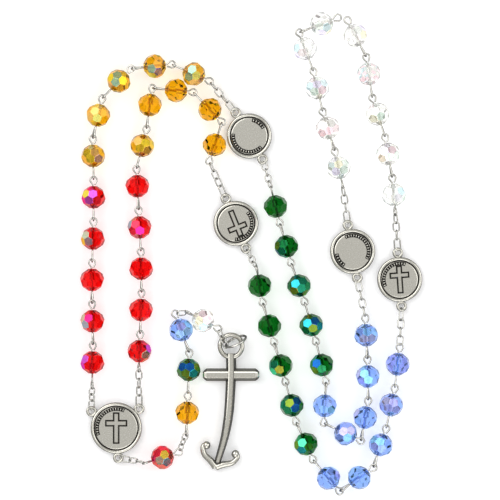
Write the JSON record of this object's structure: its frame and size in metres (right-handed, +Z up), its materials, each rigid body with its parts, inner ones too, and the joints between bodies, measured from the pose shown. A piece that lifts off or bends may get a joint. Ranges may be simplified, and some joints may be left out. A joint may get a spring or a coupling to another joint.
{
  "type": "rosary",
  "caption": "Rosary laid flat: round faceted glass beads in coloured groups, joined by wire eyes and chain into a loop, with round medals and a pendant with an anchor cross.",
  "frame": {"origin": "middle of the footprint of the rosary as it lies, on the table (z = 0)", "axes": "+Z up from the table, +Y along the long way of the layout, +X across it to the right"},
  "size_m": [0.116, 0.1636, 0.008],
  "materials": {
    "red": "bright red faceted crystal, clear polished facets with a rainbow coat on one side",
    "amber": "amber faceted crystal, clear polished facets with a rainbow coat on one side",
    "green": "emerald green faceted crystal, clear polished facets with a rainbow coat on one side",
    "blue": "light sapphire blue faceted crystal, clear polished facets with a rainbow coat on one side",
    "clear": "clear faceted crystal, clear polished facets with a rainbow coat on one side",
    "silver": "antique silver plate on cast zinc alloy, bright on edges and dark in recesses"
  },
  "bodies": {
    "centre_medal": {"centre_medal": "silver"},
    "left_red_bead_1": {"left_red_bead_1": "red"},
    "left_red_bead_2": {"left_red_bead_2": "red"},
    "left_red_bead_3": {"left_red_bead_3": "red"},
    "left_red_bead_4": {"left_red_bead_4": "red"},
    "left_red_bead_5": {"left_red_bead_5": "red"},
    "left_amber_bead_1": {"left_amber_bead_1": "amber"},
    "left_amber_bead_2": {"left_amber_bead_2": "amber"},
    "left_amber_bead_3": {"left_amber_bead_3": "amber"},
    "left_amber_bead_4": {"left_amber_bead_4": "amber"},
    "left_amber_bead_5": {"left_amber_bead_5": "amber"},
    "left_medal_1": {"left_medal_1": "silver"},
    "left_green_bead_1": {"left_green_bead_1": "green"},
    "left_green_bead_2": {"left_green_bead_2": "green"},
    "left_green_bead_3": {"left_green_bead_3": "green"},
    "left_green_bead_4": {"left_green_bead_4": "green"},
    "left_green_bead_5": {"left_green_bead_5": "green"},
    "left_blue_bead_1": {"left_blue_bead_1": "blue"},
    "left_blue_bead_2": {"left_blue_bead_2": "blue"},
    "left_blue_bead_3": {"left_blue_bead_3": "blue"},
    "left_blue_bead_4": {"left_blue_bead_4": "blue"},
    "left_blue_bead_5": {"left_blue_bead_5": "blue"},
    "left_medal_2": {"left_medal_2": "silver"},
    "left_clear_bead_1": {"left_clear_bead_1": "clear"},
    "left_clear_bead_2": {"left_clear_bead_2": "clear"},
    "left_clear_bead_3": {"left_clear_bead_3": "clear"},
    "left_clear_bead_4": {"left_clear_bead_4": "clear"},
    "left_clear_bead_5": {"left_clear_bead_5": "clear"},
    "right_red_bead_1": {"right_red_bead_1": "red"},
    "right_red_bead_2": {"right_red_bead_2": "red"},
    "right_red_bead_3": {"right_red_bead_3": "red"},
    "right_red_bead_4": {"right_red_bead_4": "red"},
    "right_red_bead_5": {"right_red_bead_5": "red"},
    "right_amber_bead_1": {"right_amber_bead_1": "amber"},
    "right_amber_bead_2": {"right_amber_bead_2": "amber"},
    "right_amber_bead_3": {"right_amber_bead_3": "amber"},
    "right_amber_bead_4": {"right_amber_bead_4": "amber"},
    "right_amber_bead_5": {"right_amber_bead_5": "amber"},
    "right_medal_1": {"right_medal_1": "silver"},
    "right_green_bead_1": {"right_green_bead_1": "green"},
    "right_green_bead_2": {"right_green_bead_2": "green"},
    "right_green_bead_3": {"right_green_bead_3": "green"},
    "right_green_bead_4": {"right_green_bead_4": "green"},
    "right_green_bead_5": {"right_green_bead_5": "green"},
    "right_blue_bead_1": {"right_blue_bead_1": "blue"},
    "right_blue_bead_2": {"right_blue_bead_2": "blue"},
    "right_blue_bead_3": {"right_blue_bead_3": "blue"},
    "right_blue_bead_4": {"right_blue_bead_4": "blue"},
    "right_blue_bead_5": {"right_blue_bead_5": "blue"},
    "right_medal_2": {"right_medal_2": "silver"},
    "right_clear_bead_1": {"right_clear_bead_1": "clear"},
    "right_clear_bead_2": {"right_clear_bead_2": "clear"},
    "right_clear_bead_3": {"right_clear_bead_3": "clear"},
    "right_clear_bead_4": {"right_clear_bead_4": "clear"},
    "right_clear_bead_5": {"right_clear_bead_5": "clear"},
    "pendant_red_bead": {"pendant_red_bead": "red"},
    "pendant_amber_green_beads": {"pendant_amber_green_beads": "amber"},
    "pendant_blue_bead": {"pendant_blue_bead": "blue"},
    "pendant_clear_bead": {"pendant_clear_bead": "clear"},
    "anchor_cross": {"anchor_cross": "silver"}
  },
  "joints": [
    {"name": "left_red_bead_1_hinge", "type": "hinge", "parent": "centre_medal", "child": "left_red_bead_1", "pos_m": [-0.0543, -0.05204, 0.0013], "axis": [0.9994, -0.0349, 0], "range_deg": [-60, 60]},
    {"name": "left_red_bead_2_hinge", "type": "hinge", "parent": "left_red_bead_1", "child": "left_red_bead_2", "pos_m": [-0.05378, -0.02968, 0.004], "axis": [-0.9998, -0.0175, 0], "range_deg": [-60, 60]},
    {"name": "left_red_bead_3_hinge", "type": "hinge", "parent": "left_red_bead_2", "child": "left_red_bead_3", "pos_m": [-0.05401, -0.01568, 0.004], "axis": [-1, 0, 0], "range_deg": [-60, 60]},
    {"name": "left_red_bead_4_hinge", "type": "hinge", "parent": "left_red_bead_3", "child": "left_red_bead_4", "pos_m": [-0.05397, -0.00168, 0.004], "axis": [0.9994, -0.0349, 0], "range_deg": [-60, 60]},
    {"name": "left_red_bead_5_hinge", "type": "hinge", "parent": "left_red_bead_4", "child": "left_red_bead_5", "pos_m": [-0.05352, 0.01231, 0.004], "axis": [1, 0, 0], "range_deg": [-60, 60]},
    {"name": "left_amber_bead_1_hinge", "type": "hinge", "parent": "left_red_bead_5", "child": "left_amber_bead_1", "pos_m": [-0.05354, 0.02631, 0.004], "axis": [-0.9998, -0.0175, 0], "range_deg": [-60, 60]},
    {"name": "left_amber_bead_2_hinge", "type": "hinge", "parent": "left_amber_bead_1", "child": "left_amber_bead_2", "pos_m": [-0.05351, 0.04028, 0.004], "axis": [-0.9744, 0.225, 0], "range_deg": [-60, 60]},
    {"name": "left_amber_bead_3_hinge", "type": "hinge", "parent": "left_amber_bead_2", "child": "left_amber_bead_3", "pos_m": [-0.04982, 0.05363, 0.004], "axis": [0.7193, -0.6947, 0], "range_deg": [-60, 60]},
    {"name": "left_amber_bead_4_hinge", "type": "hinge", "parent": "left_amber_bead_3", "child": "left_amber_bead_4", "pos_m": [-0.03975, 0.06299, 0.004], "axis": [0.1045, -0.9945, 0], "range_deg": [-60, 60]},
    {"name": "left_amber_bead_5_hinge", "type": "hinge", "parent": "left_amber_bead_4", "child": "left_amber_bead_5", "pos_m": [-0.02592, 0.06387, 0.004], "axis": [0.4067, 0.9135, 0], "range_deg": [-60, 60]},
    {"name": "left_medal_1_hinge", "type": "hinge", "parent": "left_amber_bead_5", "child": "left_medal_1", "pos_m": [-0.00617, 0.0491, 0.0013], "axis": [0.766, 0.6428, 0], "range_deg": [-60, 60]},
    {"name": "left_green_bead_1_hinge", "type": "hinge", "parent": "left_medal_1", "child": "left_green_bead_1", "pos_m": [0.00417, 0.031, 0.0013], "axis": [-0.9613, -0.2756, 0], "range_deg": [-60, 60]},
    {"name": "left_green_bead_2_hinge", "type": "hinge", "parent": "left_green_bead_1", "child": "left_green_bead_2", "pos_m": [0.00995, 0.00939, 0.004], "axis": [-0.9613, -0.2756, 0], "range_deg": [-60, 60]},
    {"name": "left_green_bead_3_hinge", "type": "hinge", "parent": "left_green_bead_2", "child": "left_green_bead_3", "pos_m": [0.01386, -0.00405, 0.004], "axis": [0.9455, 0.3256, 0], "range_deg": [-60, 60]},
    {"name": "left_green_bead_4_hinge", "type": "hinge", "parent": "left_green_bead_3", "child": "left_green_bead_4", "pos_m": [0.01836, -0.01731, 0.004], "axis": [0.9613, 0.2756, 0], "range_deg": [-60, 60]},
    {"name": "left_green_bead_5_hinge", "type": "hinge", "parent": "left_green_bead_4", "child": "left_green_bead_5", "pos_m": [0.02218, -0.03078, 0.004], "axis": [-0.9703, -0.2419, 0], "range_deg": [-60, 60]},
    {"name": "left_blue_bead_1_hinge", "type": "hinge", "parent": "left_green_bead_5", "child": "left_blue_bead_1", "pos_m": [0.02523, -0.04439, 0.004], "axis": [-0.9986, 0.0523, 0], "range_deg": [-60, 60]},
    {"name": "left_blue_bead_2_hinge", "type": "hinge", "parent": "left_blue_bead_1", "child": "left_blue_bead_2", "pos_m": [0.02559, -0.05773, 0.004], "axis": [0.4384, 0.8988, 0], "range_deg": [-60, 60]},
    {"name": "left_blue_bead_3_hinge", "type": "hinge", "parent": "left_blue_bead_2", "child": "left_blue_bead_3", "pos_m": [0.03734, -0.06223, 0.004], "axis": [-0.9848, 0.1736, 0], "range_deg": [-60, 60]},
    {"name": "left_blue_bead_4_hinge", "type": "hinge", "parent": "left_blue_bead_3", "child": "left_blue_bead_4", "pos_m": [0.03955, -0.04842, 0.004], "axis": [0.9998, 0.0175, 0], "range_deg": [-60, 60]},
    {"name": "left_blue_bead_5_hinge", "type": "hinge", "parent": "left_blue_bead_4", "child": "left_blue_bead_5", "pos_m": [0.03927, -0.03443, 0.004], "axis": [0.9986, 0.0523, 0], "range_deg": [-60, 60]},
    {"name": "left_medal_2_hinge", "type": "hinge", "parent": "left_blue_bead_5", "child": "left_medal_2", "pos_m": [0.03622, -0.00936, 0.0013], "axis": [-0.9816, -0.1908, 0], "range_deg": [-60, 60]},
    {"name": "left_clear_bead_1_hinge", "type": "hinge", "parent": "left_medal_2", "child": "left_clear_bead_1", "pos_m": [0.03261, 0.01122, 0.0013], "axis": [-0.9903, -0.1392, 0], "range_deg": [-60, 60]},
    {"name": "left_clear_bead_2_hinge", "type": "hinge", "parent": "left_clear_bead_1", "child": "left_clear_bead_2", "pos_m": [0.02791, 0.03606, 0.004], "axis": [0.9563, 0.2924, 0], "range_deg": [-60, 60]},
    {"name": "left_clear_bead_3_hinge", "type": "hinge", "parent": "left_clear_bead_2", "child": "left_clear_bead_3", "pos_m": [0.02389, 0.04947, 0.004], "axis": [0.9744, 0.225, 0], "range_deg": [-60, 60]},
    {"name": "left_clear_bead_4_hinge", "type": "hinge", "parent": "left_clear_bead_3", "child": "left_clear_bead_4", "pos_m": [0.02061, 0.06307, 0.004], "axis": [-0.9397, -0.342, 0], "range_deg": [-60, 60]},
    {"name": "left_clear_bead_5_hinge", "type": "hinge", "parent": "left_clear_bead_4", "child": "left_clear_bead_5", "pos_m": [0.01729, 0.07556, 0.004], "axis": [-0.3584, 0.9336, 0], "range_deg": [-60, 60]},
    {"name": "right_red_bead_1_hinge", "type": "hinge", "parent": "centre_medal", "child": "right_red_bead_1", "pos_m": [-0.03816, -0.05119, 0.0013], "axis": [-1, 0, 0], "range_deg": [-60, 60]},
    {"name": "right_red_bead_2_hinge", "type": "hinge", "parent": "right_red_bead_1", "child": "right_red_bead_2", "pos_m": [-0.03771, -0.02589, 0.004], "axis": [-0.9994, 0.0349, 0], "range_deg": [-60, 60]},
    {"name": "right_red_bead_3_hinge", "type": "hinge", "parent": "right_red_bead_2", "child": "right_red_bead_3", "pos_m": [-0.03728, -0.0119, 0.004], "axis": [0.9998, 0.0175, 0], "range_deg": [-60, 60]},
    {"name": "right_red_bead_4_hinge", "type": "hinge", "parent": "right_red_bead_3", "child": "right_red_bead_4", "pos_m": [-0.03757, 0.0021, 0.004], "axis": [0.9986, 0.0523, 0], "range_deg": [-60, 60]},
    {"name": "right_red_bead_5_hinge", "type": "hinge", "parent": "right_red_bead_4", "child": "right_red_bead_5", "pos_m": [-0.0383, 0.01608, 0.004], "axis": [-0.9986, -0.0523, 0], "range_deg": [-60, 60]},
    {"name": "right_amber_bead_1_hinge", "type": "hinge", "parent": "right_red_bead_5", "child": "right_amber_bead_1", "pos_m": [-0.03869, 0.03003, 0.004], "axis": [-0.9703, 0.2419, 0], "range_deg": [-60, 60]},
    {"name": "right_amber_bead_2_hinge", "type": "hinge", "parent": "right_amber_bead_1", "child": "right_amber_bead_2", "pos_m": [-0.03542, 0.04363, 0.004], "axis": [0.9903, -0.1392, 0], "range_deg": [-60, 60]},
    {"name": "right_amber_bead_3_hinge", "type": "hinge", "parent": "right_amber_bead_2", "child": "right_amber_bead_3", "pos_m": [-0.03249, 0.05624, 0.004], "axis": [-0.1045, -0.9945, 0], "range_deg": [-60, 60]},
    {"name": "right_amber_bead_4_hinge", "type": "hinge", "parent": "right_amber_bead_3", "child": "right_amber_bead_4", "pos_m": [-0.01891, 0.05407, 0.004], "axis": [0.7193, 0.6947, 0], "range_deg": [-60, 60]},
    {"name": "right_amber_bead_5_hinge", "type": "hinge", "parent": "right_amber_bead_4", "child": "right_amber_bead_5", "pos_m": [-0.01034, 0.04373, 0.004], "axis": [0.9511, -0.309, 0], "range_deg": [-60, 60]},
    {"name": "right_medal_1_hinge", "type": "hinge", "parent": "right_amber_bead_5", "child": "right_medal_1", "pos_m": [-0.00925, 0.02013, 0.0013], "axis": [-0.9135, -0.4067, 0], "range_deg": [-60, 60]},
    {"name": "right_green_bead_1_hinge", "type": "hinge", "parent": "right_medal_1", "child": "right_green_bead_1", "pos_m": [-0.00125, 0.00082, 0.0013], "axis": [-0.8829, -0.4695, 0], "range_deg": [-60, 60]},
    {"name": "right_green_bead_2_hinge", "type": "hinge", "parent": "right_green_bead_1", "child": "right_green_bead_2", "pos_m": [0.00416, -0.01755, 0.004], "axis": [0.9613, 0.2756, 0], "range_deg": [-60, 60]},
    {"name": "right_green_bead_3_hinge", "type": "hinge", "parent": "right_green_bead_2", "child": "right_green_bead_3", "pos_m": [0.00802, -0.03101, 0.004], "axis": [0.9613, 0.2756, 0], "range_deg": [-60, 60]},
    {"name": "right_green_bead_4_hinge", "type": "hinge", "parent": "right_green_bead_3", "child": "right_green_bead_4", "pos_m": [0.01186, -0.04447, 0.004], "axis": [-0.9659, -0.2588, 0], "range_deg": [-60, 60]},
    {"name": "right_green_bead_5_hinge", "type": "hinge", "parent": "right_green_bead_4", "child": "right_green_bead_5", "pos_m": [0.01565, -0.05794, 0.004], "axis": [-0.9135, -0.4067, 0], "range_deg": [-60, 60]},
    {"name": "right_blue_bead_1_hinge", "type": "hinge", "parent": "right_green_bead_5", "child": "right_blue_bead_1", "pos_m": [0.02162, -0.07056, 0.004], "axis": [0.766, 0.6428, 0], "range_deg": [-60, 60]},
    {"name": "right_blue_bead_2_hinge", "type": "hinge", "parent": "right_blue_bead_1", "child": "right_blue_bead_2", "pos_m": [0.03082, -0.07974, 0.004], "axis": [-0.5736, 0.8192, 0], "range_deg": [-60, 60]},
    {"name": "right_blue_bead_3_hinge", "type": "hinge", "parent": "right_blue_bead_2", "child": "right_blue_bead_3", "pos_m": [0.0417, -0.07128, 0.004], "axis": [0.9511, -0.309, 0], "range_deg": [-60, 60]},
    {"name": "right_blue_bead_4_hinge", "type": "hinge", "parent": "right_blue_bead_3", "child": "right_blue_bead_4", "pos_m": [0.04591, -0.05793, 0.004], "axis": [0.9781, -0.2079, 0], "range_deg": [-60, 60]},
    {"name": "right_blue_bead_5_hinge", "type": "hinge", "parent": "right_blue_bead_4", "child": "right_blue_bead_5", "pos_m": [0.04872, -0.04422, 0.004], "axis": [-0.9925, 0.1219, 0], "range_deg": [-60, 60]},
    {"name": "right_medal_2_hinge", "type": "hinge", "parent": "right_blue_bead_5", "child": "right_medal_2", "pos_m": [0.05094, -0.01902, 0.0013], "axis": [-0.9986, 0.0523, 0], "range_deg": [-60, 60]},
    {"name": "right_clear_bead_1_hinge", "type": "hinge", "parent": "right_medal_2", "child": "right_clear_bead_1", "pos_m": [0.04965, 0.00183, 0.0013], "axis": [0.9976, 0.0698, 0], "range_deg": [-60, 60]},
    {"name": "right_clear_bead_2_hinge", "type": "hinge", "parent": "right_clear_bead_1", "child": "right_clear_bead_2", "pos_m": [0.04756, 0.02705, 0.004], "axis": [0.9848, 0.1736, 0], "range_deg": [-60, 60]},
    {"name": "right_clear_bead_3_hinge", "type": "hinge", "parent": "right_clear_bead_2", "child": "right_clear_bead_3", "pos_m": [0.04497, 0.0408, 0.004], "axis": [-0.9511, -0.309, 0], "range_deg": [-60, 60]},
    {"name": "right_clear_bead_4_hinge", "type": "hinge", "parent": "right_clear_bead_3", "child": "right_clear_bead_4", "pos_m": [0.04083, 0.05415, 0.004], "axis": [-0.989, -0.1481, 0], "range_deg": [-60, 60]},
    {"name": "right_clear_bead_5_hinge", "type": "hinge", "parent": "right_clear_bead_4", "child": "right_clear_bead_5", "pos_m": [0.03841, 0.06789, 0.004], "axis": [0.8914, 0.4532, 0], "range_deg": [-60, 60]},
    {"name": "pendant_red_bead_hinge", "type": "hinge", "parent": "centre_medal", "child": "pendant_red_bead", "pos_m": [-0.04389, -0.06941, 0.0013], "axis": [-0.1564, -0.9877, 0], "range_deg": [-60, 60]},
    {"name": "pendant_amber_green_beads_hinge", "type": "hinge", "parent": "pendant_red_bead", "child": "pendant_amber_green_beads", "pos_m": [-0.02203, -0.06073, 0.004], "axis": [-0.9994, 0.0349, 0], "range_deg": [-60, 60]},
    {"name": "pendant_blue_bead_hinge", "type": "hinge", "parent": "pendant_amber_green_beads", "child": "pendant_blue_bead", "pos_m": [-0.02147, -0.03227, 0.004], "axis": [-0.9397, -0.342, 0], "range_deg": [-60, 60]},
    {"name": "pendant_clear_bead_hinge", "type": "hinge", "parent": "pendant_blue_bead", "child": "pendant_clear_bead", "pos_m": [-0.02472, -0.02007, 0.004], "axis": [0.1045, -0.9945, 0], "range_deg": [-60, 60]},
    {"name": "anchor_cross_hinge", "type": "hinge", "parent": "pendant_clear_bead", "child": "anchor_cross", "pos_m": [-0.00402, -0.02871, 0.0023], "axis": [-1, 0, 0], "range_deg": [-6, 25]}
  ]
}
